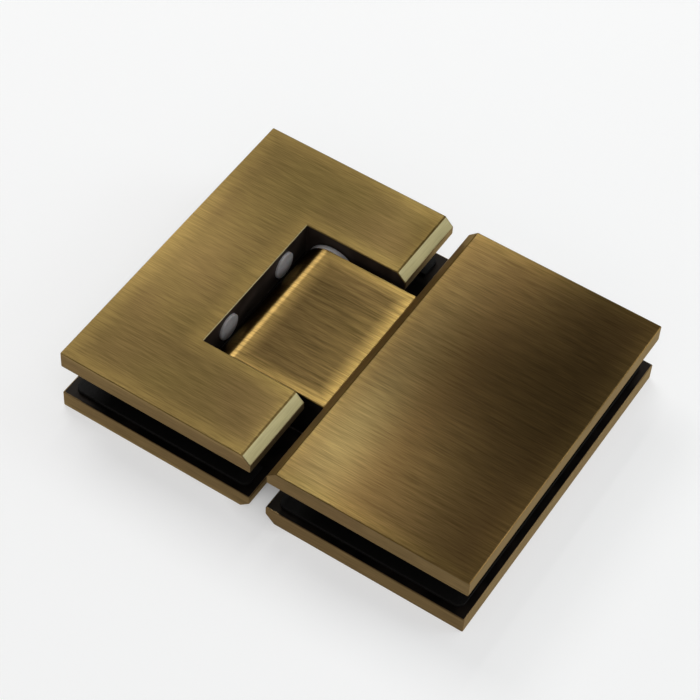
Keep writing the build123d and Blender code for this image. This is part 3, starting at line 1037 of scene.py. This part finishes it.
# ---------------------------------------------------------------- floor and light
# A pale matt table that gives some light itself, so that the shadows on it are faint, under soft white
# panels and tubes. The back of the hinge lies on the table.
floor_mesh = bpy.data.meshes.new("floor")
bm = bmesh.new()
bmesh.ops.create_grid(bm, x_segments=1, y_segments=1, size=4.0)
bm.to_mesh(floor_mesh)
bm.free()
floor = bpy.data.objects.new("floor", floor_mesh)
bpy.context.scene.collection.objects.link(floor)
pale, tree, skin = new_material("pale table")
skin.inputs["Base Color"].default_value = (0.48, 0.48, 0.48, 1)
skin.inputs["Roughness"].default_value = 0.9
skin.inputs["Emission Color"].default_value = (1, 1, 1, 1)


def glow_round_painted_shadow(tree, middle, reach, start, strength):
    """The table's own light: none up to a share of the reach from a middle, which leaves a painted shadow
    there, and all of its strength past the reach."""
    coordinates = tree.nodes.new("ShaderNodeTexCoord")
    from_middle = tree.nodes.new("ShaderNodeMapping")
    from_middle.vector_type = "TEXTURE"
    from_middle.inputs["Location"].default_value = middle
    from_middle.inputs["Scale"].default_value = reach
    tree.links.new(coordinates.outputs["Object"], from_middle.inputs["Vector"])
    away = vector_node(tree, "LENGTH", from_middle.outputs["Vector"])
    return value_range(tree, away, 0.0, strength, start, 1.0)


# It goes out under the gap between the leaves and under the notch, where it would shine up through them,
# and the dark it leaves there is a painted shadow.
glow_round_painted_gap_shadow = glow_round_painted_shadow(tree, (0, 0, 0), (0.026, 0.049, 1), 0.5, 1.0)
glow_round_painted_notch_shadow = glow_round_painted_shadow(tree, (-0.017, 0, 0), (0.034, 0.046, 1), 0.62, 0.53)
tree.links.new(number_node(tree, "MULTIPLY", glow_round_painted_gap_shadow, glow_round_painted_notch_shadow), skin.inputs["Emission Strength"])
floor_mesh.materials.append(pale)
floor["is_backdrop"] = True

world = bpy.data.worlds.new("studio")
bpy.context.scene.world = world
world.use_nodes = True
room = world.node_tree.nodes["Background"]
room.inputs["Color"].default_value = (1, 1, 1, 1)
room.inputs["Strength"].default_value = 0.09


def softbox(name, position, size, power, aim=(0, 0, 0.01), colour=(1, 1, 1)):
    """A soft rectangular light that faces the place it aims at."""
    light = bpy.data.lights.new(name, "AREA")
    light.shape = "RECTANGLE"
    light.size, light.size_y = size
    light.energy = power
    light.color = colour
    lamp = bpy.data.objects.new(name, light)
    lamp.location = position
    lamp.rotation_euler = (Vector(aim) - Vector(position)).to_track_quat("-Z", "Y").to_euler()
    bpy.context.scene.collection.objects.link(lamp)


# Lights side by side overhead, behind the hinge, that face straight down: a broad one, three dim ones and a
# narrow bright one. The brushed faces show them as bands.
for name, x, width, power, colour in (
    ("tube_0", -1.03, 0.66, 9.8, (1, 1, 1)),
    ("tube_1", -0.60, 0.08, 0.40, (1, 1, 1)),
    ("tube_2", -0.52, 0.08, 0.70, (1, 1, 1)),
    ("tube_3", -0.42, 0.08, 0.25, (1, 1, 1)),
    ("narrow_tube", -0.335, 0.02, 1.5, (0.96, 1.0, 0.95)),
):
    softbox(name, (x, 0.65, 1.0), (width, 0.9), power, (x, 0.65, 0), colour)

# Panels round the table, which light the sides and the bevels.
softbox("near_panel", (0.46, -0.81, 1.18), (1.3, 1.2), 2.2)
softbox("high_panel", (0.35, -0.35, 1.5), (1.2, 1.2), 2.9)
softbox("left_panel", (-1.1, -0.9, 0.6), (1.6, 1.0), 1.2)
softbox("front_panel", (0.1, -1.3, 0.5), (2.4, 0.9), 2.5)
softbox("right_panel", (1.3, -0.5, 0.5), (1.6, 0.9), 1.2)
softbox("right_wall", (1.05, 0.65, 0.5), (0.6, 0.6), 3.2, colour=(0.88, 0.96, 1.0))
softbox("back_panel", (0.30, 0.65, 1.0), (0.9, 0.9), 2.3, (0.30, 0.65, 0))
softbox("bridge_panel", (0.88, 0.68, 0.84), (0.45, 0.6), 1.0, colour=(0.88, 0.96, 1.0))

# ---------------------------------------------------------------- camera
# A long lens that looks down on the front plates from 600 mm off, from a little to the right, and is turned
# a few degrees about its own line of sight.
azimuth, elevation, roll = math.radians(29.629), math.radians(51.66), math.radians(4.306)
target = Vector((-8.993, 9.202, 0)) * MM
distance = 600.38 * MM
back = Vector((
    math.sin(azimuth) * math.cos(elevation), -math.cos(azimuth) * math.cos(elevation), math.sin(elevation)
))
camera = bpy.data.objects.new("camera", bpy.data.cameras.new("camera"))
camera.data.lens = 123.93
camera.data.clip_start = 0.01
camera.data.clip_end = 20
look = back.to_track_quat("Z", "Y").to_matrix().to_4x4()
camera.matrix_world = Matrix.Translation(target + back * distance) @ look @ Matrix.Rotation(roll, 4, "Z")
bpy.context.scene.collection.objects.link(camera)
bpy.context.scene.camera = camera
bpy.context.scene.view_settings.view_transform = "Standard"

low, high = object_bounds()
